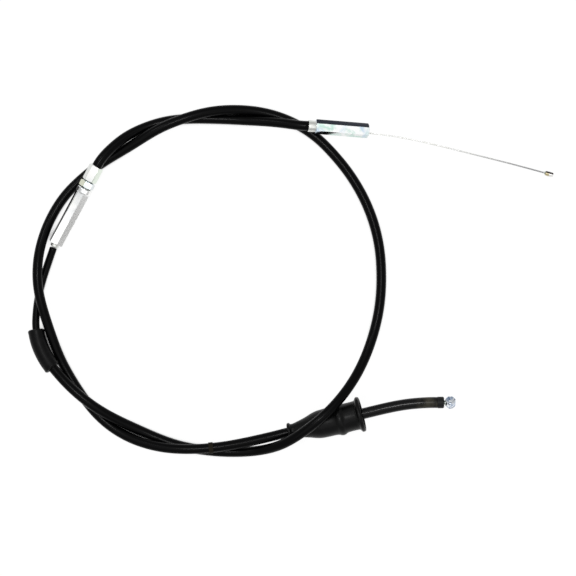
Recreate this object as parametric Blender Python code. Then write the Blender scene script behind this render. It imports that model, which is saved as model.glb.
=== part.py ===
import math

import bmesh
import bpy
import numpy as np
from mathutils import Matrix, Vector

MM = 0.001
GAP = 0.3 * MM

# Plan positions below are read off the photograph; this is the size of one of its units.
UNIT = 0.625 * MM
MID_X = 291.46
MID_Y = 281.03

CONDUIT_R = 3.0 * MM
THIN_R = 2.25 * MM
CONDUIT_STEP = 11.0 * MM

HEX_FLATS = 8.0 * MM
HEX_CORNER_R = HEX_FLATS / math.sqrt(3)
HEX_CHAMFER = 0.7 * MM

FERRULE_LENGTH = 34.0 * MM
FERRULE_BORE_R = 1.6 * MM
FERRULE_SOCKET_R = 2.4 * MM
FERRULE_SOCKET_DEPTH = 3.5 * MM
FERRULE_CAP_R = 3.3 * MM
FERRULE_CAP_SHOWN = 3.1 * MM
FERRULE_CAP_HIDDEN = 8.0 * MM

CARB_WIRE_R = 0.58 * MM
CARB_NIPPLE_R = 1.55 * MM
CARB_NIPPLE_LENGTH = 5.6 * MM

ADJUSTER_LENGTH = 57.3 * MM
HEAD_LENGTH = 10.0 * MM
HEAD_SOCKET_R = 3.4 * MM
HEAD_SOCKET_DEPTH = 6.5 * MM
STUD_R = 2.5 * MM
STUD_END = 34.0 * MM
STUD_BORE_R = 1.1 * MM
NUT_START = HEAD_LENGTH + GAP
NUT_LENGTH = 4.1 * MM
NUT_FLATS = 9.0 * MM
BARREL_START = NUT_START + NUT_LENGTH + GAP
COLLAR_LENGTH = 4.6 * MM
COLLAR_R = 4.95 * MM
BARREL_END = 55.4 * MM
BARREL_CHAMFER = 1.7 * MM
BARREL_SOCKET_R = 3.0 * MM
BARREL_SOCKET_DEPTH = 9.0 * MM
END_COLLAR_R = BARREL_SOCKET_R - GAP
END_COLLAR_HIDDEN = 6.0 * MM
INNER_WIRE_R = 0.6 * MM

COVER_ARC_R = 46.4 * MM
COVER_HALF_ANGLE = math.radians(16.5)
COVER_OUTER_R = 4.4 * MM
COVER_BORE_R = CONDUIT_R + 0.6 * MM
COVER_CENTRE = (109.5, 319.6, 6.8)
COVER_CHORD = Vector((0.41, -0.912, 0.0)).normalized()
COVER_TILT = math.radians(6.3)

BOOT_AXIS_X = 288.3
BOOT_SLOPE = -0.25
BOOT_RISE = 0.0486
PIPE_R = 3.45 * MM
PIPE_BORE_R = 2.5 * MM
PIPE_START_X = 318.0
PIPE_END_X = 438.3

SEAL_R = 3.6 * MM
SEAL_LENGTH = 4.2 * MM
SEAL_SPIGOT_R = PIPE_BORE_R - GAP
SEAL_SPIGOT_LENGTH = 4.0 * MM
SEAL_BORE_R = 1.6 * MM

TAIL_WIRE_R = 0.75 * MM
TAIL_WIRE_LENGTH = 35.0 * MM
THROTTLE_NIPPLE_R = 3.0 * MM
THROTTLE_NIPPLE_LENGTH = 5.6 * MM
THROTTLE_NIPPLE_LEAN = math.radians(41)

BAND_R = CONDUIT_R + 0.15 * MM
BAND_THICKNESS = 0.4 * MM
BAND_WIDTH = 2.8 * MM
BAND_X = 210.7

# Each point is (across, down, height of the centre in mm).
FERRULE_LEFT = (315.0, 126.87, 10.45)
FERRULE_RIGHT = (369.0, 130.7, 4.75)
ADJUSTER_TOP = (97.4, 166.6, 11.3)
ADJUSTER_BOTTOM = (53.6, 247.1, 5.1)

CARB_ROUTE = [
    (308.6, 126.4, 11.12), (300.0, 125.9, 10.9), (288.0, 124.2, 9.8), (276.9, 122.5, 8.0), (266.0, 121.5, 6.3),
    (254.0, 120.7, 4.5), (240.0, 119.8, 3.3), (226.0, 119.0, 3.05), (213.7, 118.7, 3.05), (202.0, 118.4, 3.05),
    (190.0, 118.3, 3.05), (178.0, 119.0, 3.05), (165.0, 120.7, 3.05), (154.6, 123.4, 3.05), (144.7, 127.1, 3.4),
    (137.0, 130.2, 4.2), (129.9, 133.8, 5.6), (118.5, 142.0, 8.3), (108.8, 151.2, 10.5), (101.8, 159.4, 11.4),
    (98.6, 164.4, 11.35), (96.0, 169.2, 11.1),
]

THIN_ROUTE = [
    (53.3, 247.7, 5.05), (51.6, 252.4, 4.4), (48.8, 260.0, 3.2), (45.6, 269.0, 2.4), (41.8, 281.0, 2.3),
    (38.6, 293.5, 2.5), (36.6, 306.0, 3.5),
]

MAIN_ROUTE = [
    (62.4, 378.7, 9.0), (68.0, 384.5, 9.4), (75.0, 391.0, 9.7), (83.0, 398.0, 9.8), (92.0, 404.8, 9.6),
    (101.6, 411.2, 8.6), (112.0, 417.3, 7.0), (123.0, 422.8, 5.0), (136.0, 429.0, 3.5), (150.2, 435.4, 3.05),
    (166.0, 441.9, 3.05), (182.0, 446.9, 3.05), (195.0, 449.2, 3.05), (210.0, 451.3, 3.05), (225.0, 452.4, 3.05),
    (240.0, 452.3, 3.2), (251.3, 451.9, 4.0), (262.0, 450.2, 6.4), (272.0, 447.8, 9.9), (281.0, 444.6, 13.6),
    (290.0, 439.9, 17.0), (301.5, 432.1, 20.0), (309.0, 426.8, 21.5), (316.6, 420.8, 22.0), (324.6, 413.9, 21.7),
    (334.0, 404.6, 20.0), (341.4, 396.2, 17.4), (348.6, 386.9, 14.2), (355.1, 377.3, 11.2), (363.8, 360.8, 7.2),
    (370.0, 345.4, 4.8), (374.8, 330.2, 3.5), (378.4, 315.0, 3.05), (380.6, 300.0, 3.05), (381.6, 283.0, 3.05),
    (381.4, 267.0, 3.05), (380.5, 253.0, 3.05), (378.3, 239.5, 3.05), (374.6, 224.6, 3.05), (369.5, 210.0, 3.05),
    (361.8, 193.4, 3.05), (352.4, 177.7, 3.05), (343.2, 165.0, 3.05), (333.1, 153.4, 3.05), (323.0, 142.5, 3.05),
    (311.9, 133.1, 3.05), (299.1, 125.1, 3.05), (287.0, 119.3, 3.05), (274.3, 114.7, 3.05), (264.0, 112.2, 3.2),
    (254.4, 110.6, 3.5), (245.0, 109.8, 4.2), (235.0, 109.5, 5.2), (225.0, 109.8, 6.4), (215.3, 110.8, 7.7),
    (204.0, 112.8, 9.0), (194.0, 115.6, 9.7), (181.0, 119.9, 9.9), (168.0, 124.8, 9.8), (158.0, 129.3, 9.5),
    (148.4, 134.9, 8.6), (141.0, 139.6, 7.4), (134.4, 143.7, 6.1), (124.0, 149.7, 4.2), (113.0, 155.9, 3.2),
    (104.0, 161.2, 3.05), (97.0, 165.9, 3.05), (89.0, 172.0, 3.05), (81.4, 178.7, 3.05), (74.6, 184.6, 3.05),
    (68.0, 191.2, 3.05), (61.4, 199.3, 3.05), (55.7, 208.3, 3.1), (50.6, 217.4, 3.5), (46.6, 226.6, 4.2),
    (42.6, 238.0, 5.7), (39.6, 250.1, 7.2), (37.9, 261.0, 8.2), (37.3, 272.0, 8.6), (37.8, 285.0, 8.7),
    (39.8, 297.0, 8.5), (42.4, 306.6, 8.1), (44.9, 315.4, 7.4), (48.1, 325.6, 6.3), (51.5, 335.9, 5.2),
    (56.0, 349.2, 3.9), (60.0, 359.4, 3.3), (64.3, 367.7, 3.05), (69.4, 376.7, 3.05), (76.0, 387.4, 3.05),
    (83.0, 397.9, 3.05), (90.0, 407.2, 3.05), (97.5, 415.7, 3.05), (107.0, 424.4, 3.15), (117.7, 431.8, 3.5),
    (131.0, 438.8, 4.6), (146.0, 443.9, 6.6), (158.0, 446.7, 8.3), (170.0, 448.3, 9.5), (182.0, 448.9, 10.0),
    (195.0, 448.9, 10.1), (207.0, 448.0, 10.0), (220.0, 446.7, 9.8), (234.0, 444.5, 9.4), (249.3, 441.4, 8.9),
    (266.0, 437.7, 8.3), (279.0, 434.6, 7.9), (288.0, 432.2, 7.8),
]

PIPE_ROUTE = [
    (388.0, 407.2, 12.6), (398.0, 405.1, 13.0), (409.0, 403.4, 13.4), (419.0, 402.5, 13.7), (430.0, 402.0, 13.9),
    (PIPE_END_X, 402.0, 14.0),
]

CARB_WIRE_ROUTE = [
    (366.0, 132.4, 4.6), (372.0, 133.4, 4.35), (392.0, 135.7, 3.7), (411.0, 139.2, 3.25), (433.0, 144.0, 2.85),
    (465.0, 151.9, 2.4), (488.0, 157.6, 2.15), (513.0, 163.9, 1.95), (544.2, 172.3, 1.75),
]
CARB_NIPPLE_AT = (544.6, 172.4, 1.75)
CARB_NIPPLE_TO = (553.4, 174.9, 1.72)

TAIL_WIRE_FROM = (387.0, 406.0, 12.9)
TAIL_WIRE_TO = (445.4, 402.1, 14.05)
THROTTLE_NIPPLE_AT = (451.2, 402.9, 14.2)


def clear_scene():
    for item in list(bpy.data.objects):
        bpy.data.objects.remove(item, do_unlink=True)


def place(point):
    across, down, height = point
    return Vector(((across - MID_X) * UNIT, (MID_Y - down) * UNIT, height * MM))


def material(name, colour, roughness, metallic=0.0):
    made = bpy.data.materials.new(name)
    made.use_nodes = True
    shader = made.node_tree.nodes["Principled BSDF"]
    shader.inputs["Base Color"].default_value = (*colour, 1.0)
    shader.inputs["Roughness"].default_value = roughness
    shader.inputs["Metallic"].default_value = metallic
    made.diffuse_color = (*colour, 1.0)
    return made


def axis_frame(start, end, roll=0.0):
    """Matrix with its origin at start and its local Z running towards end; local X stays as level as it can."""
    along = (end - start).normalized()
    level = Vector((0.0, 0.0, 1.0)).cross(along).normalized()
    third = along.cross(level)
    turn = Matrix((level, third, along)).transposed().to_4x4()
    return Matrix.Translation(start) @ turn @ Matrix.Rotation(roll, 4, "Z")


def add_mesh(name, work, matrix, smooth=True, flat_angle=35.0):
    bmesh.ops.recalc_face_normals(work, faces=work.faces)
    for face in work.faces:
        face.smooth = smooth
    for edge in work.edges:
        edge.smooth = len(edge.link_faces) == 2 and edge.calc_face_angle(0.0) < math.radians(flat_angle)
    mesh = bpy.data.meshes.new(name)
    work.to_mesh(mesh)
    work.free()
    item = bpy.data.objects.new(name, mesh)
    item.matrix_world = matrix
    bpy.context.collection.objects.link(item)
    return item


def turned(name, profile, matrix, sides=32, bend=None, turn=0.0):
    """A closed profile of (radius, station) turned about local Z; bend maps each finished point."""
    work = bmesh.new()
    rings = []
    for radius, station in profile:
        if radius < 1e-7:
            rings.append([work.verts.new((0.0, 0.0, station))])
            continue
        ring = []
        for index in range(sides):
            angle = turn + 2 * math.pi * index / sides
            ring.append(work.verts.new((radius * math.cos(angle), radius * math.sin(angle), station)))
        rings.append(ring)
    hollow = min(radius for radius, _ in profile) > 1e-7
    count = len(rings)
    for first in range(count if hollow else count - 1):
        lower = rings[first]
        upper = rings[(first + 1) % count]
        for index in range(sides):
            nxt = (index + 1) % sides
            corners = [lower[index % len(lower)], lower[nxt % len(lower)],
                       upper[nxt % len(upper)], upper[index % len(upper)]]
            work.faces.new(list(dict.fromkeys(corners)))
    if bend:
        for vertex in work.verts:
            vertex.co = bend(vertex.co)
    return add_mesh(name, work, matrix)


def cut(item, cutter):
    cutter.hide_render = True
    cutter.display_type = "WIRE"
    step = item.modifiers.new("bore", "BOOLEAN")
    step.operation = "DIFFERENCE"
    step.solver = "EXACT"
    step.object = cutter


def paint(item, colour):
    item.data.materials.clear()
    item.data.materials.append(colour)


def smooth_route(points, tight=12):
    """Centripetal curve through the points, sampled finely."""
    known = [points[0] * 2 - points[1], *points, points[-1] * 2 - points[-2]]
    found = []
    for index in range(1, len(known) - 2):
        a, b, c, d = known[index - 1:index + 3]
        t1 = (b - a).length ** 0.5
        t2 = t1 + (c - b).length ** 0.5
        t3 = t2 + (d - c).length ** 0.5
        for part in np.linspace(t1, t2, tight, endpoint=False):
            low = a.lerp(b, part / t1)
            mid = b.lerp(c, (part - t1) / (t2 - t1))
            high = c.lerp(d, (part - t2) / (t3 - t2))
            near = low.lerp(mid, part / t2)
            far = mid.lerp(high, (part - t1) / (t3 - t1))
            found.append(near.lerp(far, (part - t1) / (t2 - t1)))
    found.append(points[-1].copy())
    return found


def spaced(points, step):
    """The same line with its points an even distance apart."""
    table = np.array([tuple(point) for point in points])
    gone = np.concatenate([[0.0], np.cumsum(np.linalg.norm(np.diff(table, axis=0), axis=1))])
    marks = np.linspace(0.0, gone[-1], max(2, round(gone[-1] / step) + 1))
    return [Vector([float(np.interp(mark, gone, table[:, axis])) for axis in range(3)]) for mark in marks]


def eased(points, reach, step):
    """Evens out small kinks over the given reach and leaves both ends where they are."""
    table = np.array([tuple(point) for point in spaced(points, step)])
    widest = round(3 * reach / step)
    soft = table.copy()
    for index in range(1, len(table) - 1):
        half = min(index, len(table) - 1 - index, widest)
        offsets = np.arange(-half, half + 1)
        weights = np.exp(-0.5 * (offsets * step / (reach * half / widest)) ** 2)
        soft[index] = weights @ table[index - half:index + half + 1] / weights.sum()
    return [Vector(row) for row in soft.tolist()]


def cord(name, points, radius, colour, rounding=4, origin=None):
    start = origin if origin is not None else Vector((0.0, 0.0, 0.0))
    data = bpy.data.curves.new(name, "CURVE")
    data.dimensions = "3D"
    data.bevel_depth = radius
    data.bevel_resolution = rounding
    data.use_fill_caps = True
    spline = data.splines.new("POLY")
    spline.points.add(len(points) - 1)
    for knot, point in zip(spline.points, points):
        knot.co = (*(point - start), 1.0)
    spline.use_smooth = True
    item = bpy.data.objects.new(name, data)
    item.location = start
    bpy.context.collection.objects.link(item)
    paint(item, colour)
    return item


def tube_between(name, path, outer, inner, sides=24):
    """Open pipe along a path whose ends are square to it."""
    work = bmesh.new()
    shells = []
    for radius in (outer, inner):
        rings = []
        for index, point in enumerate(path):
            ahead = path[min(index + 1, len(path) - 1)] - path[max(index - 1, 0)]
            frame = axis_frame(point, point + ahead)
            ring = []
            for side in range(sides):
                angle = 2 * math.pi * side / sides
                ring.append(work.verts.new(frame @ Vector((radius * math.cos(angle), radius * math.sin(angle), 0))))
            rings.append(ring)
        shells.append(rings)
    outside, inside = shells
    loop = [*outside, *reversed(inside)]
    for index, ring in enumerate(loop):
        following = loop[(index + 1) % len(loop)]
        for side in range(sides):
            nxt = (side + 1) % sides
            work.faces.new((ring[side], ring[nxt], following[nxt], following[side]))
    return add_mesh(name, work, Matrix())


def hex_bar(name, start, end, corner, matrix, low_chamfer, high_chamfer):
    profile = [
        (0.0, start), (corner - low_chamfer, start), (corner, start + low_chamfer * 0.6),
        (corner, end - high_chamfer * 0.6), (corner - high_chamfer, end), (0.0, end),
    ]
    return turned(name, profile, matrix, sides=6)


def boot_point(across, drop=0.0):
    down = 413.0 + BOOT_SLOPE * (across - 364.0)
    height = 11.3 + BOOT_RISE * (across - 360.0)
    return place((across, down, height - drop))


def cover_point(angle):
    centre = place(COVER_CENTRE)
    inward = Vector((-COVER_CHORD.y, COVER_CHORD.x, 0.0))
    along = COVER_CHORD * math.cos(COVER_TILT) + Vector((0.0, 0.0, math.sin(COVER_TILT)))
    return centre - inward * COVER_ARC_R * math.cos(angle) + along * COVER_ARC_R * math.sin(angle)


def build_ferrule(metal, cap_metal):
    start = place(FERRULE_LEFT)
    matrix = axis_frame(start, place(FERRULE_RIGHT), math.radians(37))
    ferrule = hex_bar("carb_ferrule", 0.0, FERRULE_LENGTH, HEX_CORNER_R, matrix, HEX_CHAMFER, HEX_CHAMFER)
    paint(ferrule, metal)
    deep = FERRULE_CAP_HIDDEN + GAP
    over = 1.0 * MM
    wide = FERRULE_CAP_R + GAP
    bore = turned("cutter_ferrule_bore", [
        (0.0, -over), (wide, -over), (wide, deep), (FERRULE_BORE_R, deep),
        (FERRULE_BORE_R, FERRULE_LENGTH - FERRULE_SOCKET_DEPTH - 1.0 * MM),
        (FERRULE_SOCKET_R, FERRULE_LENGTH - FERRULE_SOCKET_DEPTH),
        (FERRULE_SOCKET_R, FERRULE_LENGTH + over), (0.0, FERRULE_LENGTH + over),
    ], matrix)
    cut(ferrule, bore)
    lip = 0.5 * MM
    cap = turned("ferrule_end_cap", [
        (FERRULE_BORE_R, -FERRULE_CAP_SHOWN), (FERRULE_CAP_R - lip, -FERRULE_CAP_SHOWN),
        (FERRULE_CAP_R, -FERRULE_CAP_SHOWN + lip), (FERRULE_CAP_R, FERRULE_CAP_HIDDEN),
        (FERRULE_BORE_R, FERRULE_CAP_HIDDEN),
    ], matrix)
    paint(cap, cap_metal)


def build_carb_end(wire_metal, nipple_metal):
    path = eased(smooth_route([place(point) for point in CARB_WIRE_ROUTE]), 5 * MM, 1 * MM)
    cord("carb_wire", spaced(path, 4 * MM), CARB_WIRE_R, wire_metal, rounding=2, origin=path[0])
    matrix = axis_frame(place(CARB_NIPPLE_AT), place(CARB_NIPPLE_TO))
    edge = 0.3 * MM
    dimple = 0.9 * MM
    nipple = turned("carb_nipple", [
        (0.0, 0.0), (CARB_NIPPLE_R - edge, 0.0), (CARB_NIPPLE_R, edge),
        (CARB_NIPPLE_R, CARB_NIPPLE_LENGTH - edge), (CARB_NIPPLE_R - edge, CARB_NIPPLE_LENGTH),
        (dimple, CARB_NIPPLE_LENGTH), (0.0, CARB_NIPPLE_LENGTH - 0.4 * MM),
    ], matrix, sides=24)
    paint(nipple, nipple_metal)


def build_adjuster(metal, nut_metal, cap_metal, wire_metal):
    top = place(ADJUSTER_TOP)
    bottom = place(ADJUSTER_BOTTOM)
    matrix = axis_frame(top, bottom, math.radians(33))
    over = 1.0 * MM

    head = hex_bar("adjuster_head", 0.0, HEAD_LENGTH, HEX_CORNER_R, matrix, HEX_CHAMFER, HEX_CHAMFER)
    paint(head, metal)
    cut(head, turned("cutter_head_bore", [
        (0.0, -over), (HEAD_SOCKET_R, -over), (HEAD_SOCKET_R, HEAD_SOCKET_DEPTH), (STUD_R + GAP, HEAD_SOCKET_DEPTH),
        (STUD_R + GAP, HEAD_LENGTH + over), (0.0, HEAD_LENGTH + over),
    ], matrix))
    stud_start = HEAD_SOCKET_DEPTH + GAP
    stud = turned("adjuster_screw", [
        (STUD_BORE_R, stud_start), (STUD_R, stud_start), (STUD_R, STUD_END - 0.5 * MM),
        (STUD_R - 0.5 * MM, STUD_END), (STUD_BORE_R, STUD_END),
    ], matrix)
    paint(stud, metal)

    nut_end = NUT_START + NUT_LENGTH
    nut = hex_bar("adjuster_lock_nut", NUT_START, nut_end, NUT_FLATS / math.sqrt(3), matrix,
                  HEX_CHAMFER, HEX_CHAMFER)
    paint(nut, nut_metal)
    cut(nut, turned("cutter_nut_bore", [
        (0.0, NUT_START - over), (STUD_R + GAP, NUT_START - over),
        (STUD_R + GAP, nut_end + over), (0.0, nut_end + over),
    ], matrix))

    shoulder = BARREL_START + COLLAR_LENGTH
    barrel = turned("adjuster_barrel", [
        (0.0, BARREL_START), (HEX_CORNER_R - HEX_CHAMFER, BARREL_START),
        (COLLAR_R, BARREL_START + HEX_CHAMFER), (COLLAR_R, shoulder - HEX_CHAMFER),
        (HEX_CORNER_R, shoulder), (HEX_CORNER_R, BARREL_END - BARREL_CHAMFER),
        (BARREL_SOCKET_R + 0.7 * MM, BARREL_END), (0.0, BARREL_END),
    ], matrix, sides=6)
    paint(barrel, metal)
    socket = BARREL_END - BARREL_SOCKET_DEPTH
    cut(barrel, turned("cutter_barrel_bore", [
        (0.0, BARREL_START - over), (STUD_R + GAP, BARREL_START - over), (STUD_R + GAP, STUD_END + GAP),
        (STUD_BORE_R, STUD_END + GAP), (STUD_BORE_R, socket), (BARREL_SOCKET_R, socket),
        (BARREL_SOCKET_R, BARREL_END + over), (0.0, BARREL_END + over),
    ], matrix))

    lip = 0.5 * MM
    collar = turned("adjuster_end_collar", [
        (STUD_BORE_R, BARREL_END - END_COLLAR_HIDDEN), (END_COLLAR_R, BARREL_END - END_COLLAR_HIDDEN),
        (END_COLLAR_R, ADJUSTER_LENGTH - lip), (END_COLLAR_R - lip, ADJUSTER_LENGTH),
        (STUD_BORE_R, ADJUSTER_LENGTH),
    ], matrix)
    paint(collar, cap_metal)
    upper = turned("adjuster_upper_end_cap", [
        (STUD_BORE_R, 3.4 * MM), (HEAD_SOCKET_R - GAP, 3.4 * MM),
        (HEAD_SOCKET_R - GAP, HEAD_SOCKET_DEPTH - GAP), (STUD_BORE_R, HEAD_SOCKET_DEPTH - GAP),
    ], matrix)
    paint(upper, cap_metal)
    along = (bottom - top).normalized()
    inner = [top + along * 4.0 * MM, top + along * (ADJUSTER_LENGTH - 0.6 * MM)]
    cord("adjuster_inner_wire", inner, INNER_WIRE_R, wire_metal, rounding=2, origin=inner[0])


def build_conduits(jacket, band_colour, rubber):
    carb = eased(smooth_route([place(point) for point in CARB_ROUTE]), 6 * MM, 1 * MM)
    cord("conduit_carb_side", spaced(carb, CONDUIT_STEP * 0.8), CONDUIT_R, jacket)

    before = [cover_point(math.radians(angle)) for angle in (-20, -15, -10, -5.5, -1.2)]
    thin = eased(smooth_route([place(point) for point in THIN_ROUTE] + before), 3 * MM, 1 * MM)
    cord("conduit_thin", spaced(thin, CONDUIT_STEP * 0.5), THIN_R, jacket, rounding=3)

    after = [cover_point(math.radians(angle)) for angle in (0, 5, 10, 15, 20)]
    into_boot = [boot_point(across) for across in (297.0, 306.0, PIPE_START_X - 0.8)]
    knots = after + [place(point) for point in MAIN_ROUTE] + into_boot
    main = eased(smooth_route(knots), 6 * MM, 1 * MM)
    cord("conduit_main", spaced(main, CONDUIT_STEP), CONDUIT_R, jacket)

    band_from = next(i for i, point in enumerate(main) if i > 600 and point.x > place((BAND_X, 0, 0)).x)
    middle = main[band_from]
    along = (main[band_from + 3] - main[band_from - 3]).normalized()
    half = BAND_WIDTH / 2
    edge = 0.12 * MM
    outer = BAND_R + BAND_THICKNESS
    band = turned("marker_band", [
        (BAND_R, -half), (outer - edge, -half), (outer, edge - half),
        (outer, half - edge), (outer - edge, half), (BAND_R, half),
    ], axis_frame(middle, middle + along), sides=32)
    paint(band, band_colour)

    centre = place(COVER_CENTRE)
    inward = Vector((-COVER_CHORD.y, COVER_CHORD.x, 0.0))
    tilt = COVER_CHORD * math.cos(COVER_TILT) + Vector((0.0, 0.0, math.sin(COVER_TILT)))
    upright = inward.cross(tilt)
    turn = Matrix((inward, upright, tilt)).transposed().to_4x4()
    reach = COVER_ARC_R * COVER_HALF_ANGLE
    rows = 10

    def bend(point):
        angle = point.z / COVER_ARC_R
        spread = COVER_ARC_R - point.x
        return Vector((-spread * math.cos(angle), point.y, spread * math.sin(angle)))

    step = 2 * (reach - 0.6 * MM) / rows
    outside = [(COVER_OUTER_R, -reach + 0.6 * MM + step * row) for row in range(rows + 1)]
    inside = [(COVER_BORE_R, reach - 2 * reach / rows * row) for row in range(rows + 1)]
    profile = [(COVER_OUTER_R - 0.5 * MM, -reach), *outside, (COVER_OUTER_R - 0.5 * MM, reach), *inside]
    cover = turned("adjuster_cover", profile, Matrix.Translation(centre) @ turn, sides=24, bend=bend)
    paint(cover, rubber)


def build_throttle_end(rubber, pipe_colour, seal_colour, wire_metal, nipple_metal):
    start = boot_point(BOOT_AXIS_X)
    matrix = axis_frame(start, boot_point(BOOT_AXIS_X + 10))
    outside = [
        (5.0, 0.0), (5.5, 0.5), (5.5, 1.6), (4.9, 2.1), (4.4, 2.6), (5.2, 7.0), (6.6, 12.5), (7.8, 16.0), (8.7, 19.4),
        (9.0, 24.0), (9.1, 30.5), (9.3, 33.0), (10.0, 34.6), (10.0, 36.0), (9.3, 37.4), (9.2, 38.6),
        (9.6, 39.8), (9.2, 41.0), (9.1, 42.6), (9.7, 44.0), (10.6, 44.6), (11.15, 45.2), (11.25, 46.2), (11.0, 47.3),
        (10.4, 47.8),
    ]
    inside = [
        (9.8, 47.5), (9.4, 46.8), (9.3, 43.4), (8.4, 42.4), (8.0, 39.0), (7.5, 34.0), (7.0, 28.0), (6.3, 20.0),
        (5.2, 15.0), (4.2, 11.5), (3.8, 8.5), (3.75, 3.2), (3.4, 2.0), (3.4, 0.0),
    ]
    profile = [(radius * MM, station * MM) for radius, station in outside + inside]
    boot = turned("throttle_boot", profile, matrix, sides=48)
    paint(boot, rubber)

    straight = [boot_point(across) for across in (PIPE_START_X, 334.0, 350.0, 364.0, 376.0)]
    path = eased(smooth_route(straight + [place(point) for point in PIPE_ROUTE]), 4 * MM, 1 * MM)
    pipe = tube_between("throttle_pipe", spaced(path, 4 * MM), PIPE_R, PIPE_BORE_R)
    paint(pipe, pipe_colour)

    face = path[-1]
    along = (path[-1] - path[-6]).normalized()
    seal_frame = axis_frame(face + along * GAP, face + along)
    seal = turned("pipe_end_seal", [
        (SEAL_BORE_R, -SEAL_SPIGOT_LENGTH), (SEAL_SPIGOT_R, -SEAL_SPIGOT_LENGTH), (SEAL_SPIGOT_R, 0.0),
        (SEAL_R - 0.3 * MM, 0.0), (SEAL_R, 0.3 * MM), (SEAL_R, SEAL_LENGTH - 0.6 * MM),
        (SEAL_R - 0.6 * MM, SEAL_LENGTH), (SEAL_R - 0.9 * MM, SEAL_LENGTH), (SEAL_BORE_R, SEAL_LENGTH - 2.2 * MM),
    ], seal_frame)
    paint(seal, seal_colour)

    tail_end = place(TAIL_WIRE_TO)
    along = (tail_end - place(TAIL_WIRE_FROM)).normalized()
    tail_start = tail_end - along * TAIL_WIRE_LENGTH
    cord("throttle_wire_tail", [tail_start, tail_end], TAIL_WIRE_R, wire_metal, rounding=4, origin=tail_start)

    lean = Vector((0.0, math.sin(THROTTLE_NIPPLE_LEAN), math.cos(THROTTLE_NIPPLE_LEAN)))
    middle = place(THROTTLE_NIPPLE_AT)
    half = THROTTLE_NIPPLE_LENGTH / 2
    edge = 0.4 * MM
    nipple = turned("throttle_nipple", [
        (0.0, -half), (THROTTLE_NIPPLE_R - edge, -half), (THROTTLE_NIPPLE_R, edge - half),
        (THROTTLE_NIPPLE_R, half - edge), (THROTTLE_NIPPLE_R - edge, half), (0.0, half),
    ], axis_frame(middle, middle + lean), sides=32)
    paint(nipple, nipple_metal)


def main():
    clear_scene()
    bright = material("bright_zinc", (0.74, 0.75, 0.73), 0.28, 1.0)
    dull = material("dull_zinc", (0.66, 0.67, 0.62), 0.4, 1.0)
    nut = material("nut_zinc", (0.70, 0.74, 0.73), 0.3, 1.0)
    strand = material("wire_steel", (0.52, 0.52, 0.46), 0.4, 1.0)
    olive = material("nipple_brass", (0.36, 0.33, 0.20), 0.45, 1.0)
    silver = material("nipple_silver", (0.80, 0.81, 0.80), 0.22, 1.0)
    jacket = material("conduit_jacket", (0.018, 0.018, 0.019), 0.34)
    rubber = material("boot_rubber", (0.020, 0.020, 0.021), 0.72)
    cover = material("cover_rubber", (0.014, 0.014, 0.015), 0.55)
    pipe = material("pipe_black", (0.012, 0.012, 0.013), 0.22)
    seal = material("seal_rubber", (0.010, 0.010, 0.011), 0.5)
    band = material("band_olive", (0.16, 0.13, 0.07), 0.7)

    build_ferrule(bright, dull)
    build_carb_end(strand, olive)
    build_adjuster(bright, nut, dull, strand)
    build_conduits(jacket, band, cover)
    build_throttle_end(rubber, pipe, seal, strand, silver)
    bpy.context.view_layer.update()


main()
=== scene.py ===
import math

import bmesh
import bpy
import numpy as np
from mathutils import Matrix, Vector


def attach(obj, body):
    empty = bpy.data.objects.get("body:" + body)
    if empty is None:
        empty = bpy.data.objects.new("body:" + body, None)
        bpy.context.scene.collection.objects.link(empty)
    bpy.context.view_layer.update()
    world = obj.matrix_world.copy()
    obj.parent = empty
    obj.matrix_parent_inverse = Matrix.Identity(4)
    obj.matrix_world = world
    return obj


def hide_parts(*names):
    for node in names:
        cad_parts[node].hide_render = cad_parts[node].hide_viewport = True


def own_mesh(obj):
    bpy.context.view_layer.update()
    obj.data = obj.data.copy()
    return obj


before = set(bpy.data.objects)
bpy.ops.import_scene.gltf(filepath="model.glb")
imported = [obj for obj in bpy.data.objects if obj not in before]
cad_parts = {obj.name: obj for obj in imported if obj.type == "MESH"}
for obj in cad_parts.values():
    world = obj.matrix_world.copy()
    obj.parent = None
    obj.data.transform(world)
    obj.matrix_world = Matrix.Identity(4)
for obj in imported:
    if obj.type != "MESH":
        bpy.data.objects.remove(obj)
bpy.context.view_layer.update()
mm = 0.001
unit = 0.625 * mm  # size of one photograph unit
middle = (291.46, 281.03)  # the photograph's point over the frame's origin

print("frame loaded:", len(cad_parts), "nodes")


def spot(point):
    across, down, height = point
    return Vector(((across - middle[0]) * unit, (middle[1] - down) * unit, height * mm))


def axisPlace(start, end, roll=0.0):
    along = (end - start).normalized()
    level = Vector((0, 0, 1)).cross(along).normalized()
    turn = Matrix((level, along.cross(level), along)).transposed().to_4x4()
    return Matrix.Translation(start) @ turn @ Matrix.Rotation(roll, 4, "Z")


def smoothLine(points, fine=12):
    known = [points[0] * 2 - points[1], *points, points[-1] * 2 - points[-2]]
    found = []
    for index in range(1, len(known) - 2):
        a, b, c, d = known[index - 1:index + 3]
        t1 = (b - a).length ** 0.5
        t2 = t1 + (c - b).length ** 0.5
        t3 = t2 + (d - c).length ** 0.5
        for t in np.linspace(t1, t2, fine, endpoint=False):
            low, mid = a.lerp(b, t / t1), b.lerp(c, (t - t1) / (t2 - t1))
            high = c.lerp(d, (t - t2) / (t3 - t2))
            first, second = low.lerp(mid, t / t2), mid.lerp(high, (t - t1) / (t3 - t1))
            found.append(first.lerp(second, (t - t1) / (t2 - t1)))
    found.append(points[-1].copy())
    return found


def evenLine(points, step):
    table = np.array([tuple(point) for point in points])
    gone = np.concatenate([[0.0], np.cumsum(np.linalg.norm(np.diff(table, axis=0), axis=1))])
    marks = np.linspace(0.0, gone[-1], max(2, round(gone[-1] / step) + 1))
    return [Vector([float(np.interp(mark, gone, table[:, axis])) for axis in range(3)]) for mark in marks]


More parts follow.
